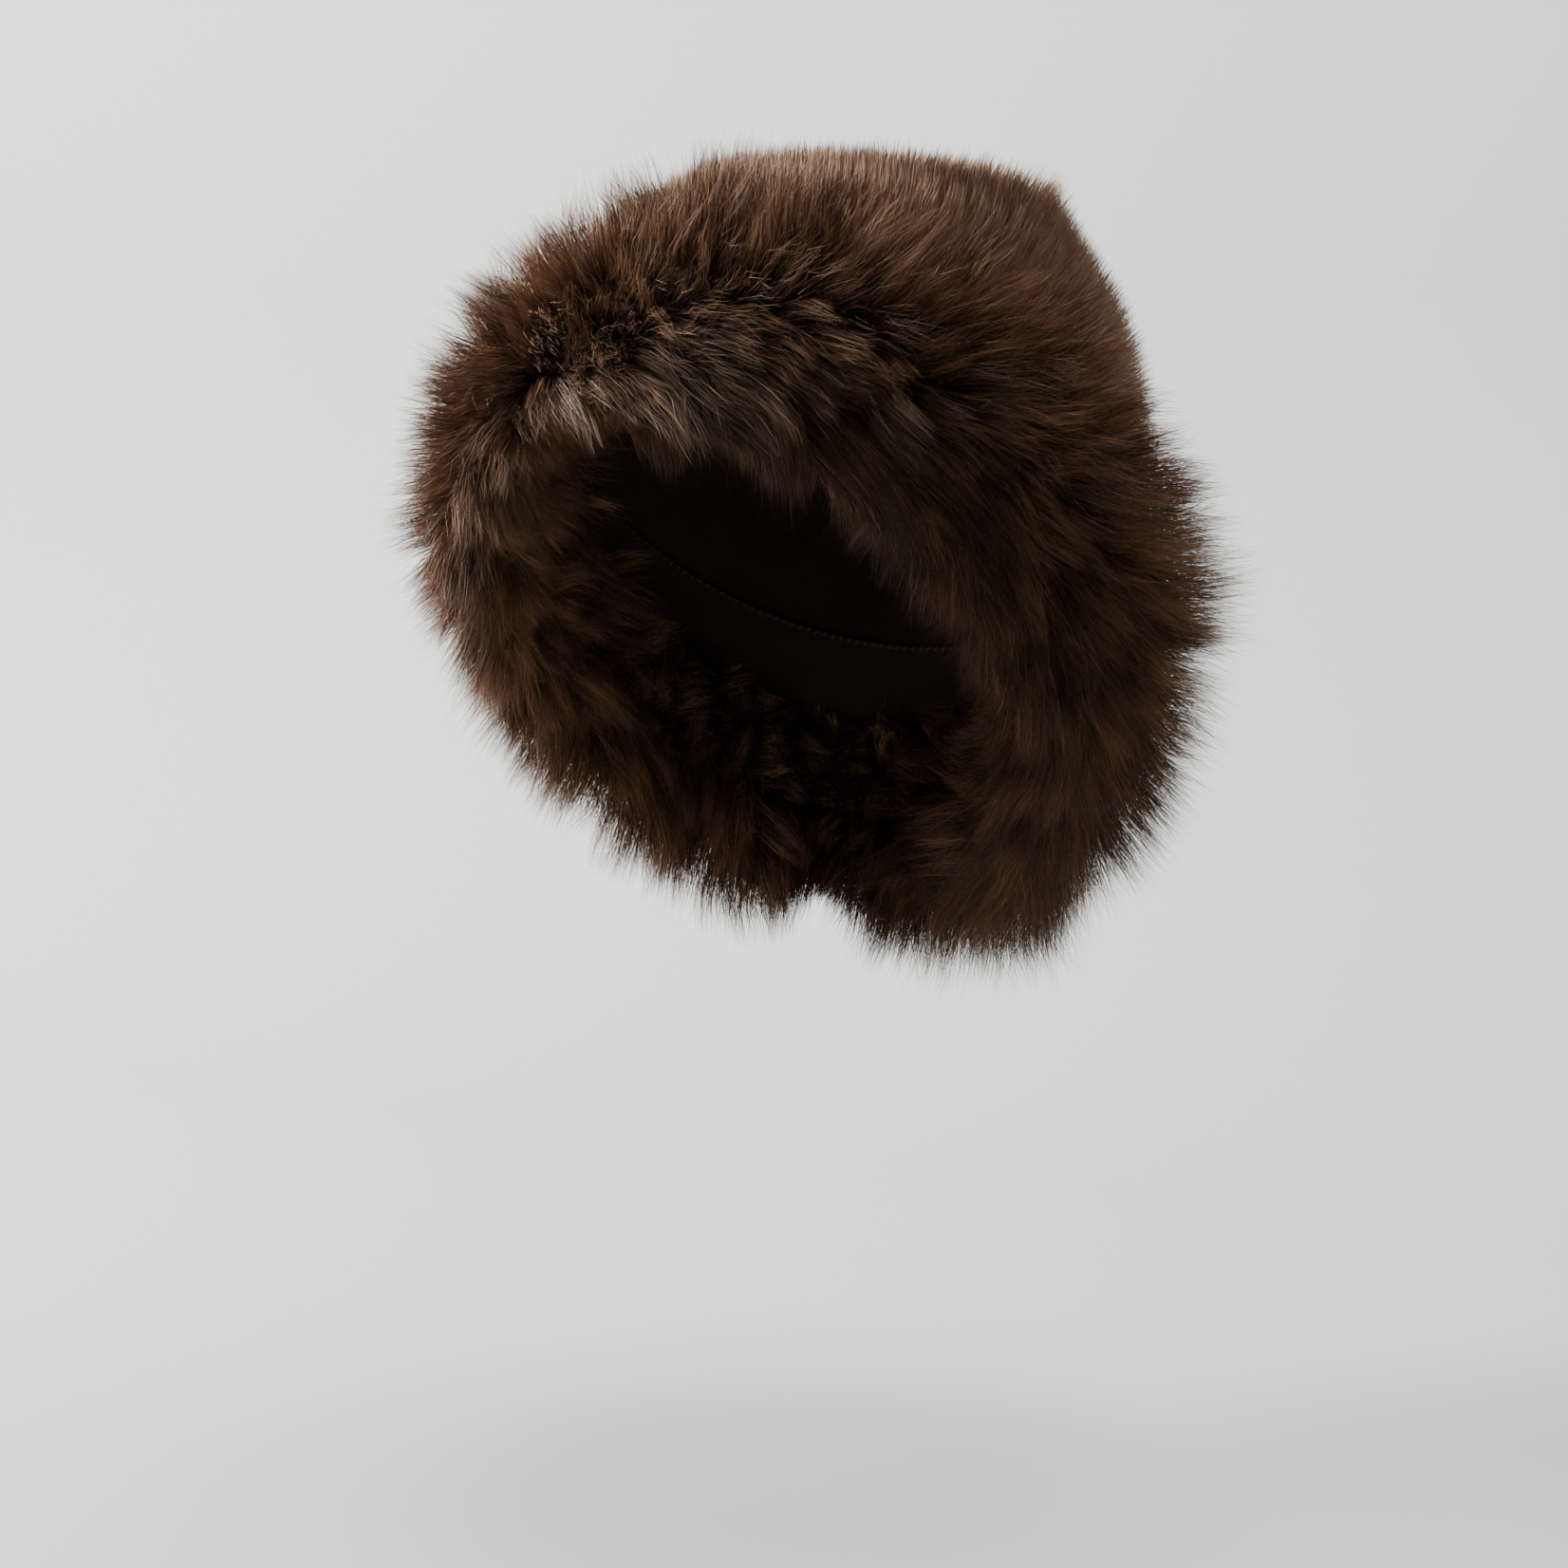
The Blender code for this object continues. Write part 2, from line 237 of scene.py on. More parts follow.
def hairTree():
    tree = bpy.data.node_groups.new("hair strands", "GeometryNodeTree")
    tree.interface.new_socket("Geometry", in_out="INPUT", socket_type="NodeSocketGeometry")
    for name, value in hairInputs.items():
        kind = "NodeSocketInt" if isinstance(value, int) else "NodeSocketFloat"
        tree.interface.new_socket(name, in_out="INPUT", socket_type=kind).default_value = value
    tree.interface.new_socket("Material", in_out="INPUT", socket_type="NodeSocketMaterial")
    tree.interface.new_socket("Geometry", in_out="OUTPUT", socket_type="NodeSocketGeometry")
    b = Builder(tree)
    given = b.add("NodeGroupInput").outputs
    seed = given["Seed"]

    def seeded(step):
        return b.number("ADD", seed, float(step))

    roots = b.add("GeometryNodeDistributePointsOnFaces",
                  {"Mesh": given["Geometry"], "Density": given["Density"], "Seed": seed},
                  distribute_method="RANDOM").outputs["Points"]
    position = b.add("GeometryNodeInputPosition").outputs[0]
    swirl = b.vector("SCALE", b.noise(position, given["Swirl Scale"]), scale=given["Swirl"])
    combed = b.vector("NORMALIZE", b.vector("ADD", b.named("way"), swirl))

    def guides(spacing, step, spread):
        # Sparse points whose direction and chance the strands around them share
        density = b.number("DIVIDE", 1.0, b.number("POWER", spacing, 2.0))
        points = b.add("GeometryNodeDistributePointsOnFaces",
                       {"Mesh": given["Geometry"], "Density": density, "Seed": seeded(step)},
                       distribute_method="RANDOM").outputs["Points"]
        points = b.store(points, "chance", b.randomNumber(seeded(step + 1)), "FLOAT")
        stray = b.vector("SCALE", b.randomVector(seeded(step + 2)), scale=spread)
        points = b.store(points, "guideWay", b.vector("NORMALIZE", b.vector("ADD", combed, stray)))
        nearest = b.add("GeometryNodeSampleNearest", {"Geometry": points},
                        domain="POINT").outputs[0]

        def take(value, kind):
            node = b.add("GeometryNodeSampleIndex", {"Geometry": points, "Value": value,
                                                     "Index": nearest},
                         data_type=kind, domain="POINT")
            return node.outputs[0]

        return (take(position, "FLOAT_VECTOR"), take(b.named("guideWay"), "FLOAT_VECTOR"),
                take(b.named("chance", "FLOAT"), "FLOAT"))

    # What each strand takes from its lock and its wisp, and what is its own
    lockRoot, lockWay, lockChance = guides(given["Lock Spacing"], 50, given["Lock Spread"])
    wispRoot, wispWay, wispChance = guides(given["Wisp Spacing"], 60, given["Spread"])
    scatter = b.vector("SCALE", b.randomVector(seeded(1)), scale=given["Spread"])
    way = b.vector("NORMALIZE", b.vector("ADD", combed, scatter))
    ownShare = b.number("SUBTRACT", 1.0, b.number("MULTIPLY", b.randomNumber(seeded(2)),
                                                  given["Length Variation"]))
    chance = b.number("ADD", b.number("MULTIPLY", lockChance, strand["lockShare"]),
                      b.number("MULTIPLY", wispChance, 1 - strand["lockShare"]))
    lockShare = b.number("SUBTRACT", strand["longest"],
                         b.number("MULTIPLY", chance, given["Lock Variation"]))
    length = b.number("MULTIPLY", b.named("hairLength", "FLOAT"),
                      b.number("MULTIPLY", ownShare, lockShare))
    turned = b.vector("ADD", b.named("out"), b.vector("SCALE", b.randomVector(seeded(3)),
                                                      scale=strand["twist"]))
    sideWay = b.vector("NORMALIZE", b.vector("CROSS_PRODUCT", way, turned))

    def centred(chance, size):
        return b.number("MULTIPLY_ADD", chance, size, -size / 2)

    mixed = b.number("ADD", centred(lockChance, strand["lockTone"]),
                     b.number("ADD", centred(wispChance, strand["wispTone"]),
                              centred(b.randomNumber(seeded(4)), strand["ownTone"])))
    toneMix = b.number("MULTIPLY_ADD", mixed, given["Tone Variation"], b.named("tone", "FLOAT"))
    tone = b.add("ShaderNodeClamp", {"Value": toneMix, "Min": strand["toneMargin"],
                                      "Max": 1 - strand["toneMargin"]}).outputs[0]
    for name, value, kind in (("root", position, "FLOAT_VECTOR"),
                              ("lockRoot", lockRoot, "FLOAT_VECTOR"),
                              ("wispRoot", wispRoot, "FLOAT_VECTOR"),
                              ("strandWay", way, "FLOAT_VECTOR"),
                              ("lockWay", lockWay, "FLOAT_VECTOR"),
                              ("wispWay", wispWay, "FLOAT_VECTOR"),
                              ("sideWay", sideWay, "FLOAT_VECTOR"),
                              ("strandLength", length, "FLOAT"),
                              ("strandTone", tone, "FLOAT")):
        roots = b.store(roots, name, value, kind)

    # One flat strand, two vertices wide, closing to a point
    rows = b.number("ADD", given["Bends"], 1.0)
    ribbon = b.add("GeometryNodeMeshGrid", {"Size X": 1.0, "Size Y": 1.0, "Vertices X": 2,
                                            "Vertices Y": rows}).outputs["Mesh"]
    place = b.add("ShaderNodeSeparateXYZ", {"Vector": position}).outputs
    along = b.number("ADD", place["Y"], 0.5)
    taper = b.number("POWER", b.number("SUBTRACT", 1.0, along), strand["taper"])
    pointed = b.add("ShaderNodeCombineXYZ", {"X": b.number("MULTIPLY", place["X"], taper),
                                             "Y": along}).outputs[0]
    ribbon = b.add("GeometryNodeSetPosition", {"Geometry": ribbon, "Position": pointed}).outputs[0]
    ribbon = b.add("GeometryNodeMergeByDistance",
                   {"Geometry": ribbon, "Distance": strand["mergeGap"]}).outputs[0]
    ribbon = b.store(ribbon, "ribbonPlace", position)
    strands = b.add("GeometryNodeInstanceOnPoints", {"Points": roots,
                                                     "Instance": ribbon}).outputs[0]
    strands = b.add("GeometryNodeRealizeInstances", {"Geometry": strands}).outputs[0]

    # Bend each ribbon from its root: growth, pull of its wisp and lock, gravity and waves
    ribbonPlace = b.add("ShaderNodeSeparateXYZ", {"Vector": b.named("ribbonPlace")}).outputs
    s, side = ribbonPlace["Y"], ribbonPlace["X"]
    length = b.named("strandLength", "FLOAT")
    reach = b.number("MULTIPLY", length, s)

    def path(root, way):
        return b.vector("ADD", b.named(root), b.vector("SCALE", b.named(way), scale=reach))

    def drawn(start, end, pull, power):
        share = b.number("MULTIPLY", pull, b.number("POWER", s, power))
        return b.add("ShaderNodeMix", {0: share, 4: start, 5: end}, data_type="VECTOR").outputs[1]

    wispPath = path("wispRoot", "wispWay")
    lockPath = path("lockRoot", "lockWay")
    line = drawn(path("root", "strandWay"), wispPath, given["Wisp Pull"],
                 strand["wispCurve"])
    line = drawn(line, lockPath, given["Lock Pull"], strand["lockCurve"])
    bend = b.number("MULTIPLY", b.number("POWER", s, 2.0),
                    b.number("MULTIPLY", length, given["Sag"]))
    drop = b.add("ShaderNodeCombineXYZ", {"Z": b.number("MULTIPLY", bend, -1.0)}).outputs[0]
    amount = b.number("MULTIPLY", reach, given["Wave"])
    ripple = b.vector("SCALE", b.noise(lockPath, given["Wave Scale"]), scale=amount)
    fineScale = b.number("MULTIPLY", given["Wave Scale"], strand["fineScale"])
    fineAmount = b.number("MULTIPLY", amount, strand["fineShare"])
    fine = b.vector("SCALE", b.noise(wispPath, fineScale), scale=fineAmount)
    half = b.number("MULTIPLY", side, given["Width"])
    wide = b.vector("SCALE", b.named("sideWay"), scale=half)
    final = b.vector("ADD", b.vector("ADD", b.vector("ADD", line, drop), wide),
                     b.vector("ADD", ripple, fine))
    strands = b.add("GeometryNodeSetPosition", {"Geometry": strands,
                                                "Position": final}).outputs[0]
    margin = strand["mapMargin"]
    chart = b.add("ShaderNodeCombineXYZ",
                  {"X": b.named("strandTone", "FLOAT"),
                   "Y": b.number("MULTIPLY_ADD", s, 1 - 2 * margin, margin)}).outputs[0]
    strands = b.store(strands, "OFBake", chart, "FLOAT2", "CORNER")
    for name in ("root", "lockRoot", "wispRoot", "strandWay", "lockWay", "wispWay", "sideWay",
                 "strandLength", "strandTone", "ribbonPlace", "way", "out", "hairLength", "tone"):
        strands = b.add("GeometryNodeRemoveAttribute", {"Geometry": strands,
                                                        "Name": name}).outputs[0]
    painted = b.add("GeometryNodeSetMaterial", {"Geometry": strands,
                                                "Material": given["Material"]}).outputs[0]
    b.add("NodeGroupOutput", {0: painted})
    return tree


def growHair(tree, surface, name, settings, material, node):
    # Runs the tree on a growth surface and keeps the result as a plain mesh
    modifier = surface.modifiers.new("hair", "NODES")
    modifier.node_group = tree
    settings["Density"] = settings.pop("Strands") / sum(p.area for p in surface.data.polygons)
    sockets = {item.name: item.identifier for item in tree.interface.items_tree
               if item.in_out == "INPUT"}
    for key, value in settings.items():
        modifier[sockets[key]] = value
    modifier[sockets["Material"]] = material
    evaluated = surface.evaluated_get(bpy.context.evaluated_depsgraph_get())
    mesh = bpy.data.meshes.new_from_object(evaluated)
    mesh.name = name
    hair = bpy.data.objects.new(name, mesh)
    bpy.context.scene.collection.objects.link(hair)
    bpy.data.objects.remove(surface, do_unlink=True)
    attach(hair, "root")
    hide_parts(node)
    triangles = sum(len(p.vertices) - 2 for p in mesh.polygons)
    print(name, "has", triangles, "triangles")


# Materials

hairColours = {
    "brimRoot": (0.0070, 0.0030, 0.0018),
    "brimDark": (0.026, 0.0118, 0.0064),
    "brimLight": (0.305, 0.154, 0.086),
    "crownRoot": (0.056, 0.0300, 0.0185),
    "crownDark": (0.150, 0.084, 0.053),
    "crownLight": (0.420, 0.256, 0.170),
    "rise": (0.10, 0.90),  # from the root's colour to the body's, along the strand
    "roughness": 0.48,
    "sheen": 0.10,
    "sheenRoughness": 0.4,
    "sheenTint": (0.80, 0.52, 0.36, 1.0),
    "shine": 0.28,
    "shineTint": (0.90, 0.58, 0.40, 1.0),
}


def hairMaterial(name, root, dark, light):
    # Root to tip and dark to light are read from the strand's own map
    material = bpy.data.materials.new(name)
    material.use_nodes = True
    b = Builder(material.node_tree)
    shader = material.node_tree.nodes["Principled BSDF"]
    chart = b.add("ShaderNodeUVMap", uv_map="OFBake").outputs[0]
    parts = b.add("ShaderNodeSeparateXYZ", {"Vector": chart}).outputs
    body = b.add("ShaderNodeMix", {0: parts["X"], 6: (*dark, 1.0), 7: (*light, 1.0)},
                 data_type="RGBA").outputs[2]
    low, high = hairColours["rise"]
    rise = b.add("ShaderNodeMapRange", {"Value": parts["Y"], "From Min": low, "From Max": high},
                 interpolation_type="SMOOTHSTEP").outputs[0]
    colour = b.add("ShaderNodeMix", {0: rise, 6: (*root, 1.0), 7: body},
                   data_type="RGBA").outputs[2]
    material.node_tree.links.new(colour, shader.inputs["Base Color"])
    shader.inputs["Roughness"].default_value = hairColours["roughness"]
    shader.inputs["Sheen Weight"].default_value = hairColours["sheen"]
    shader.inputs["Sheen Roughness"].default_value = hairColours["sheenRoughness"]
    shader.inputs["Sheen Tint"].default_value = hairColours["sheenTint"]
    shader.inputs["Specular IOR Level"].default_value = hairColours["shine"]
    shader.inputs["Specular Tint"].default_value = hairColours["shineTint"]
    return material


leather = {
    "dark": (0.010, 0.0055, 0.004),
    "light": (0.030, 0.017, 0.012),
    "grain": 900.0,
    "mottle": 45.0,
    "roughness": 0.75,
    "roughnessGrain": 0.2,
    "bump": 0.4,
    "bumpDepth": 0.0006,
    "shine": 0.2,
}


def leatherMaterial():
    material = bpy.data.materials.new("napped leather")
    material.use_nodes = True
    b = Builder(material.node_tree)
    shader = material.node_tree.nodes["Principled BSDF"]
    spot = b.add("ShaderNodeTexCoord").outputs["Object"]
    mottle = b.add("ShaderNodeTexNoise", {"Vector": spot, "Scale": leather["mottle"],
                                          "Detail": 6.0}).outputs["Fac"]
    grain = b.add("ShaderNodeTexNoise", {"Vector": spot, "Scale": leather["grain"],
                                         "Detail": 3.0}).outputs["Fac"]
    colour = b.add("ShaderNodeMix", {0: mottle, 6: (*leather["dark"], 1.0),
                                     7: (*leather["light"], 1.0)}, data_type="RGBA").outputs[2]
    material.node_tree.links.new(colour, shader.inputs["Base Color"])
    rough = b.number("MULTIPLY_ADD", grain, leather["roughnessGrain"], leather["roughness"])
    material.node_tree.links.new(rough, shader.inputs["Roughness"])
    bump = b.add("ShaderNodeBump", {"Height": grain, "Strength": leather["bump"],
                                    "Distance": leather["bumpDepth"]})
    material.node_tree.links.new(bump.outputs[0], shader.inputs["Normal"])
    shader.inputs["Specular IOR Level"].default_value = leather["shine"]
    return material


# How each coat is combed

def turn(a, b, degrees):
    angle = np.radians(degrees)
    return unit(a * np.cos(angle) + b * np.sin(angle))


tipCoat = {"length": 0.0155, "lean": 24.0, "flare": 0.35, "tone": 0.60}
crownCoat = {"length": 0.0205, "lean": 31.0, "tone": 0.50}
# Angles run in degrees round the hat: 0 in front, 90 on the wearer's left, 180 at the nape.
# Lengths and tones were fitted to a single view. The brim's tones are painted light and shade
# from that view: painted light on the wearer's right, painted shade at the front of the ridge,
# and painted shade that darkens the tone from the seam to the edge and the facing.
brimCoat = {
    "length": 0.0460,
    "napeLength": 0.0450,
    "leftExtra": 0.022,
    "rightExtra": 0.006,
    "leftCheek": 134.0,
    "rightCheek": 132.0,  # the other way round from the front
    "cheekSpread": 33.0,
    "foreheadExtra": -0.008,
    "foreheadAngle": 330.0,
    "foreheadSpread": 28.0,
    "innerExtra": 0.008,
    "innerAngle": 88.0,
    "innerSpread": 42.0,
    "facingCut": 0.010,
    "partingAngle": 193.0,
    "partingWidth": 7.0,
    "partingShare": 0.6,
    "lean": 18.0,
    "facingLean": 4.0,
    "fanPower": 0.50,
    "flatSide": 0.6,
    "frontPower": 1.5,
    "seamBoost": 0.36,
    "boostPower": 1.5,
    "fringe": 0.22,
    "fringeStart": 0.5,  # of the facing's depth, where the fringe has its full length
    "sweep": 1.30,
    "facingSweep": 0.45,
    "sweepPower": 1.5,
    "sweepAngle": 15.0,
    "sweepDepth": 0.55,
    "sweepChange": 0.12,
    # Painted shade: the tone falls from the seam to the brim's edge and the facing
    "tonePlaces": (0.35, 0.95, 2.0),
    "seamTone": 0.54,
    "edgeTone": 0.15,
    "facingTone": 0.16,
    # Painted shade at the front of the ridge
    "shade": 0.30,
    "shadeAngle": 35.0,
    "shadeSpread": 38.0,
    "shadePlace": 0.95,
    "shadeDepth": 0.45,
    # Painted light: the brim's hair is lighter on the wearer's right, the side the light comes from
    "rightPaintedLight": 0.36,
    "paintedLightAngle": 268.0,
    "paintedLightSpread": 68.0,
}
guardCoat = {"length": 1.06, "tone": 0.35}
backwards = np.array([0.0, 1.0, 0.15])


def combTip(share, angle, point, normal, outward):
    way = unit(normal + backwards * math.tan(math.radians(tipCoat["lean"]))
               + outward * tipCoat["flare"] * share[..., None]**2)
    return (way, normal, np.full(share.shape, tipCoat["length"]),
            np.full(share.shape, tipCoat["tone"]))


def combCrown(share, angle, point, normal, down):
    way = turn(normal, -down, crownCoat["lean"])
    return (way, normal, np.full(share.shape, crownCoat["length"]),
            np.full(share.shape, crownCoat["tone"]))


def swell(value, middle, spread):
    # Smooth rise that is 1 at the middle
    return np.exp(-((value - middle) / spread)**2)


def brimLength(share, angle):
    # Longest beside the left cheek, shorter at the nape and shortest in its parting
    degrees = np.degrees(angle)
    nape = ((1 - np.cos(angle)) / 2)**2
    length = brimCoat["length"] + (brimCoat["napeLength"] - brimCoat["length"]) * nape
    cheek = np.where(degrees < 180, brimCoat["leftCheek"], 360 - brimCoat["rightCheek"])
    extra = np.where(degrees < 180, brimCoat["leftExtra"], brimCoat["rightExtra"])
    length = length + extra * swell(degrees, cheek, brimCoat["cheekSpread"]) * np.minimum(
        1, 2 - share)
    beside = swell(degrees, brimCoat["innerAngle"], brimCoat["innerSpread"])
    inner = brimCoat["innerExtra"] * beside - brimCoat["facingCut"] * nape
    length = length + inner * np.clip(share - 1, 0, 1)
    forehead = swell(degrees, brimCoat["foreheadAngle"], brimCoat["foreheadSpread"])
    length = length + brimCoat["foreheadExtra"] * forehead
    parting = swell(degrees, brimCoat["partingAngle"], brimCoat["partingWidth"])
    return length * (1 - brimCoat["partingShare"] * parting)


# The brim's tone with painted light and shade laid into the hair's colour
def brimToneWithPaintedLightAndShade(share, angle):
    degrees = np.degrees(angle)
    # Painted shade: darker from the seam towards the edge and the facing
    tone = np.interp(share, brimCoat["tonePlaces"],
                     (brimCoat["seamTone"], brimCoat["edgeTone"], brimCoat["facingTone"]))
    # Painted shade at the front of the ridge
    shade = (swell(degrees, brimCoat["shadeAngle"], brimCoat["shadeSpread"])
             * swell(share, brimCoat["shadePlace"], brimCoat["shadeDepth"]))
    # Painted light on the wearer's right
    right = swell(degrees, brimCoat["paintedLightAngle"], brimCoat["paintedLightSpread"])
    return tone - brimCoat["shade"] * shade + brimCoat["rightPaintedLight"] * right


def brimSweep(off, angle):
    # How far the hair in front is combed aside, least on the facing
    ahead = np.cos(angle - math.radians(brimCoat["sweepAngle"]))
    facing = brimCoat["facingSweep"]
    most = np.where(off > 0, brimCoat["sweep"],
                    facing + (brimCoat["sweep"] - facing) * swell(off, 0, brimCoat["sweepChange"]))
    return most * np.maximum(0, ahead)**brimCoat["sweepPower"] * swell(off, 0, brimCoat["sweepDepth"])


def combBrim(share, angle, point, normal, down):
    # Stands out along the skin at the edge and away from it on both faces
    off = np.round(1 - share, 12)  # exactly zero at the edge
    side = np.where(off < 0, -1.0, 1.0)
    fan = side * np.abs(off)**brimCoat["fanPower"]
    lean = np.where(off > 0, brimCoat["lean"], brimCoat["facingLean"])
    way = turn(normal, down, (90 - (90 + lean) * fan)[..., None])
    way = unit(way + np.cross(normal, down) * brimSweep(off, angle)[..., None])
    out = unit(normal * side[..., None] + down * brimCoat["flatSide"])
    front = ((1 + np.cos(angle)) / 2)**brimCoat["frontPower"]
    boost = 1 + brimCoat["seamBoost"] * np.clip(off, 0, 1)**brimCoat["boostPower"] * front
    fringe = np.clip(-off / brimCoat["fringeStart"], 0, 1)
    boost = boost + brimCoat["fringe"] * front * fringe
    return way, out, brimLength(share, angle) * boost, brimToneWithPaintedLightAndShade(share, angle)


def combGuard(share, angle, point, normal, down):
    # The few long fine hairs that stand over the rest
    way, out, length, tone = combBrim(share, angle, point, normal, down)
    return way, out, length * guardCoat["length"], tone + guardCoat["tone"]


# Coats: where roots grow and how they are combed, the node replaced, and what the tree is given

coats = {
    "tip_hair": {
        "frame": tipFrame, "comb": combTip, "rows": np.linspace(0.02, 0.99, 12),
        "node": "tip_fur", "kind": "crown",
        "settings": {"Strands": 12000, "Seed": 11},
    },
    "crown_hair": {
        "frame": skinFrame, "comb": combCrown, "rows": np.linspace(0.0, 0.99, 24),
        "node": "crown_fur", "kind": "crown",
        "settings": {"Strands": 52000, "Seed": 23},
    },
    "brim_outer_hair": {
        "frame": brimFrame, "comb": combBrim, "rows": np.linspace(0.01, 0.60, 14),
        "node": "brim_fur", "kind": "brim",
        "settings": {"Strands": 36000, "Seed": 37},
    },
    "brim_edge_hair": {
        "frame": brimFrame, "comb": combBrim, "rows": np.linspace(0.60, 1.0, 10),
        "node": "brim_fur", "kind": "brim",
        "settings": {"Strands": 34000, "Seed": 41, "Lock Spacing": 0.0095,
                     "Lock Pull": 0.37, "Lock Variation": 0.28, "Wisp Pull": 0.64,
                     "Swirl": 0.28, "Wave": 0.13},
    },
    "brim_fold_hair": {
        "frame": brimFrame, "comb": combBrim, "rows": np.linspace(1.0, 1.40, 8),
        "node": "brim_fur", "kind": "brim",
        "settings": {"Strands": 32000, "Seed": 53, "Lock Spacing": 0.011,
                     "Lock Pull": 0.52, "Lock Spread": 0.50, "Lock Variation": 0.36,
                     "Spread": 0.30, "Swirl": 0.48, "Swirl Scale": 32.0, "Sag": 0.14},
    },
    "brim_facing_hair": {
        "frame": brimFrame, "comb": combBrim, "rows": np.linspace(1.40, 2.0, 12),
        "node": "brim_fur", "kind": "brim",
        "settings": {"Strands": 24000, "Seed": 67, "Lock Spacing": 0.012,
                     "Lock Pull": 0.58, "Lock Spread": 0.60, "Lock Variation": 0.44,
                     "Spread": 0.36, "Swirl": 0.60, "Swirl Scale": 34.0, "Sag": 0.18,
                     "Tone Variation": 1.1},
    },
    "brim_ridge_hair": {
        "frame": brimFrame, "comb": combBrim, "rows": np.linspace(0.92, 1.08, 9),
        "node": "brim_fur", "kind": "brim",
        "settings": {"Strands": 18000, "Seed": 71, "Lock Pull": 0.30, "Wisp Pull": 0.55,
                     "Swirl": 0.26, "Wave": 0.12},
    },
    "brim_guard_hair": {
        "frame": brimFrame, "comb": combGuard, "rows": np.linspace(0.0, 1.6, 20),
        "node": "brim_fur", "kind": "brim",
        "settings": {"Strands": 7000, "Seed": 79, "Lock Pull": 0.2, "Wisp Pull": 0.3,
                     "Spread": 0.45, "Wave": 0.26, "Length Variation": 0.45,
                     "Width": 0.00026, "Bends": 4},
    },
}
kinds = {
    "crown": {"Lock Spacing": 0.006, "Lock Pull": 0.22, "Lock Spread": 0.16,
              "Wisp Spacing": 0.0025, "Wisp Pull": 0.35, "Spread": 0.18, "Swirl": 0.14,
              "Swirl Scale": 30.0, "Wave": 0.10, "Wave Scale": 90.0, "Sag": 0.06,
              "Length Variation": 0.30, "Lock Variation": 0.12, "Tone Variation": 0.55,
              "Width": 0.00042, "Bends": 2},
    "brim": {"Lock Spacing": 0.0085, "Lock Pull": 0.46, "Lock Spread": 0.30,
             "Wisp Spacing": 0.0031, "Wisp Pull": 0.70, "Spread": 0.24, "Swirl": 0.34,
             "Swirl Scale": 22.0, "Wave": 0.15, "Wave Scale": 52.0, "Sag": 0.08,
             "Length Variation": 0.28, "Lock Variation": 0.22, "Tone Variation": 0.90,
             "Width": 0.00040, "Bends": 3},
}

growthColumns = 160
tree = hairTree()
materials = {
    "crown": hairMaterial("short brown hair", hairColours["crownRoot"], hairColours["crownDark"],
                          hairColours["crownLight"]),
    "brim": hairMaterial("long brown hair", hairColours["brimRoot"], hairColours["brimDark"],
                         hairColours["brimLight"]),
}
for name, coat in coats.items():
    kind = coat["kind"]
    surface = growthSurface(name + "_roots", coat["rows"], growthColumns, coat["frame"],
                            coat["comb"])
    settings = dict(kinds[kind], **coat["settings"])
    growHair(tree, surface, name, settings, materials[kind], coat["node"])


# Seams inside the hat: a rolled edge where two skins meet, whipped with thread

seam = {
    "roll": 0.0011,
    "rollSteps": 180,
    "rollSides": 8,
    "inside": 0.0026,
    "stitchStep": 0.0036,
    "stitchPoints": 5,
    "stitchThread": 0.00034,
    "stitchSides": 5,
    "stitchEnd": 0.35,  # of the thread's radius
    "stitchLift": 0.6,  # of the thread's radius, over the roll
    "slant": 0.45,  # of a step
    "thread": (0.060, 0.038, 0.026),
    "threadDark": 0.6,
    "threadGrain": 2500.0,
    "threadRoughness": 0.6,
}


def tube(shape, points, radius, sides, closed):
    # Adds a round section swept along points to the shape
    count = len(points)
    slanted = np.array([0.31, 0.17, 0.93])  # a direction that no seam runs along
    rings = []
    for k in range(count):
        ahead = points[(k + 1) % count] if closed or k < count - 1 else points[k]
        behind = points[k - 1] if closed or k > 0 else points[k]
        along = unit(ahead - behind)
        side = unit(np.cross(along, slanted))
        other = np.cross(along, side)
        r = radius if closed or 0 < k < count - 1 else radius * seam["stitchEnd"]
        rings.append([shape.verts.new(points[k] + r * (side * math.cos(t) + other * math.sin(t)))
                      for t in np.linspace(0, 2 * math.pi, sides, endpoint=False)])
    for k in range(count if closed else count - 1):
        a, b = rings[k], rings[(k + 1) % count]
        for j in range(sides):
            shape.faces.new((a[j], a[(j + 1) % sides], b[(j + 1) % sides], b[j]))
    if not closed:
        shape.faces.new(rings[0][::-1])
        shape.faces.new(rings[-1])


def finishPiece(name, shape, material):
    bmesh.ops.recalc_face_normals(shape, faces=shape.faces)
    mesh = bpy.data.meshes.new(name)
    shape.to_mesh(mesh)
    shape.free()
    mesh.shade_smooth()
    mesh.materials.append(material)
    piece = bpy.data.objects.new(name, mesh)
    bpy.context.scene.collection.objects.link(piece)
    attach(piece, "root")


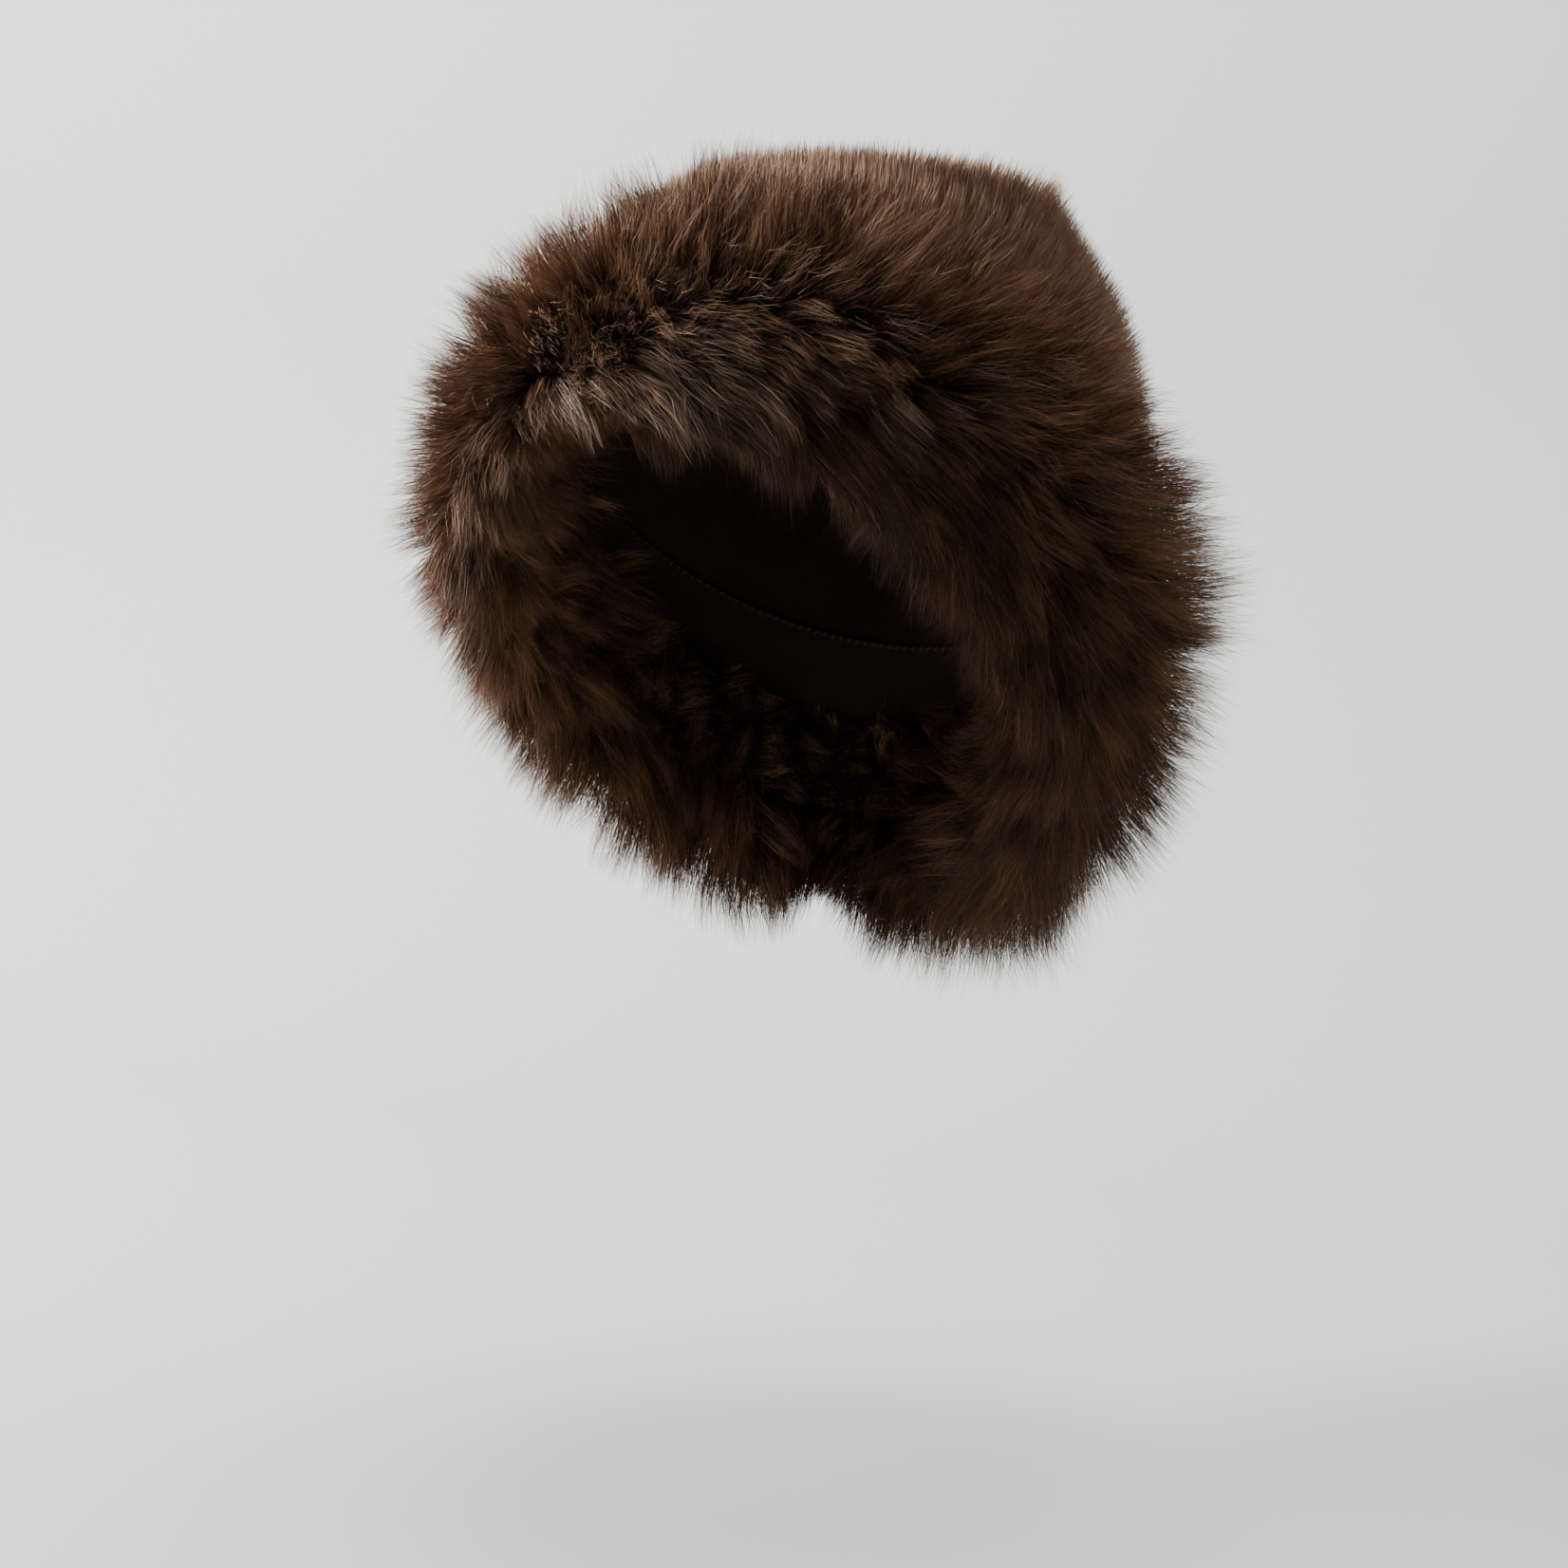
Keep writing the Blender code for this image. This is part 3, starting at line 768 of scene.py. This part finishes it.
def makeSeam(name, place, rollMaterial, threadFinish):
    angle = np.linspace(0, 2 * math.pi, seam["rollSteps"], endpoint=False)
    point, normal, _ = skinFrame(np.full_like(angle, place), angle)
    line = point - normal * seam["inside"]
    roll = bmesh.new()
    tube(roll, list(line), seam["roll"], seam["rollSides"], closed=True)
    finishPiece(name + "_roll", roll, rollMaterial)
    around = np.linalg.norm(line - np.roll(line, 1, 0), axis=1).sum()
    count = int(around / seam["stitchStep"])
    step = 2 * math.pi / count * seam["slant"]
    r = seam["roll"] + seam["stitchThread"] * seam["stitchLift"]
    stitches = bmesh.new()
    for k in range(count):
        start = 2 * math.pi * k / count
        arc = []
        for t in np.linspace(0, 1, seam["stitchPoints"]):
            at = np.array([start + step * t])
            point, normal, down = skinFrame(np.array([place]), at)
            swing = math.pi * (1 - t)
            arc.append((point - normal * (seam["inside"] + r * math.sin(swing))
                        + down * r * math.cos(swing))[0])
        tube(stitches, arc, seam["stitchThread"], seam["stitchSides"], closed=False)
    finishPiece(name + "_thread", stitches, threadFinish)


def threadMaterial():
    material = bpy.data.materials.new("waxed thread")
    material.use_nodes = True
    b = Builder(material.node_tree)
    shader = material.node_tree.nodes["Principled BSDF"]
    spot = b.add("ShaderNodeTexCoord").outputs["Object"]
    fibre = b.add("ShaderNodeTexNoise", {"Vector": spot,
                                         "Scale": seam["threadGrain"]}).outputs["Fac"]
    dark = tuple(seam["threadDark"] * c for c in seam["thread"])
    colour = b.add("ShaderNodeMix", {0: fibre, 6: (*dark, 1.0), 7: (*seam["thread"], 1.0)},
                   data_type="RGBA").outputs[2]
    material.node_tree.links.new(colour, shader.inputs["Base Color"])
    shader.inputs["Roughness"].default_value = seam["threadRoughness"]
    return material


skinLeather = leatherMaterial()
for name in ("crown_tip", "crown_side", "brim"):
    bpy.data.objects[name].data.materials.clear()
    bpy.data.objects[name].data.materials.append(skinLeather)
waxedThread = threadMaterial()
makeSeam("brim_seam", seamPlace, skinLeather, waxedThread)
makeSeam("tip_seam", tipPlace, skinLeather, waxedThread)
print("skins and seams finished")

# Studio: pale floor that curves up behind, soft light from the wearer's right

studio = {
    "floorBelow": 0.4861,  # metres from the origin down to the table
    "frontDistance": 4.0,
    "backDistance": 1.0,
    "wallHeight": 4.0,
    "curveRadius": 0.5,
    "curveSteps": 12,
    "colour": (0.432, 0.444, 0.442),
    "roughness": 0.9,
    "halfWidth": 4.0,
}


def makeStudio():
    shape = bmesh.new()
    r, back = studio["curveRadius"], studio["backDistance"]
    profile = [(-studio["frontDistance"], 0.0), (back - r, 0.0)]
    for k in range(1, studio["curveSteps"] + 1):
        bend = math.radians(90 * k / studio["curveSteps"])
        profile.append((back - r + r * math.sin(bend), r - r * math.cos(bend)))
    profile.append((back, studio["wallHeight"]))
    rings = [[shape.verts.new((x, y, z - studio["floorBelow"])) for y, z in profile]
             for x in (-studio["halfWidth"], studio["halfWidth"])]
    for k in range(len(profile) - 1):
        shape.faces.new((rings[0][k], rings[1][k], rings[1][k + 1], rings[0][k + 1]))
    mesh = bpy.data.meshes.new("backdrop")
    shape.to_mesh(mesh)
    shape.free()
    mesh.shade_smooth()
    backdrop = bpy.data.objects.new("backdrop", mesh)
    bpy.context.scene.collection.objects.link(backdrop)
    material = bpy.data.materials.new("backdrop")
    material.use_nodes = True
    shader = material.node_tree.nodes["Principled BSDF"]
    shader.inputs["Base Color"].default_value = (*studio["colour"], 1.0)
    shader.inputs["Roughness"].default_value = studio["roughness"]
    mesh.materials.append(material)


lamps = {
    "window": {"at": (-1.86, -0.60, 0.84), "size": 1.1, "power": 205.0,
               "colour": (1.0, 0.99, 0.96)},
    "fill": {"at": (1.6, -1.2, 0.4), "size": 1.8, "power": 2.0, "colour": (1.0, 0.96, 0.90)},
    "top": {"at": (-0.1, 0.3, 1.5), "size": 1.0, "power": 46.0, "colour": (1.0, 0.98, 0.95)},
}
aim = (0.0, 0.0, -0.1)
room = {"colour": (0.95, 0.96, 0.95, 1.0), "strength": 0.22}


def makeLights():
    for name, lamp in lamps.items():
        light = bpy.data.lights.new(name, "AREA")
        light.size = lamp["size"]
        light.energy = lamp["power"]
        light.color = lamp["colour"]
        holder = bpy.data.objects.new(name, light)
        holder.location = lamp["at"]
        towards = np.array(aim) - np.array(lamp["at"])
        holder.rotation_euler = Vector(towards).to_track_quat("-Z", "Y").to_euler()
        bpy.context.scene.collection.objects.link(holder)
    world = bpy.data.worlds.new("studio")
    world.use_nodes = True
    background = world.node_tree.nodes["Background"]
    background.inputs["Color"].default_value = room["colour"]
    background.inputs["Strength"].default_value = room["strength"]
    bpy.context.scene.world = world


view = {
    "imageSide": 1652.0,
    "focalPixels": 3870.0,
    "sensor": 36.0,
    "nearest": 0.05,
    "distance": 1.435,
    "sideways": 0.017,
    "height": -0.1081,  # over the origin
    "azimuth": 27.0,
    "pitch": 4.99,
    "roll": 1.09,
}


def makeCamera():
    camera = bpy.data.cameras.new("camera")
    camera.sensor_width = view["sensor"]
    camera.lens = view["focalPixels"] / view["imageSide"] * camera.sensor_width
    camera.clip_start = view["nearest"]
    a, p, roll = (math.radians(view[k]) for k in ("azimuth", "pitch", "roll"))
    right = np.array([math.cos(a), math.sin(a), 0.0])
    ahead = np.array([-math.sin(a), math.cos(a), 0.0])
    place = -view["sideways"] * right - view["distance"] * ahead + np.array([0, 0, view["height"]])
    looking = math.cos(p) * ahead + np.array([0, 0, -math.sin(p)])
    up = math.sin(p) * ahead + np.array([0, 0, math.cos(p)])
    x = math.cos(roll) * right + math.sin(roll) * up
    y = -math.sin(roll) * right + math.cos(roll) * up
    holder = bpy.data.objects.new("camera", camera)
    holder.matrix_world = Matrix([[x[i], y[i], -looking[i], place[i]] for i in range(3)]
                                 + [[0, 0, 0, 1]])
    bpy.context.scene.collection.objects.link(holder)
    bpy.context.scene.camera = holder


makeStudio()
makeLights()
makeCamera()
print("studio and camera ready")
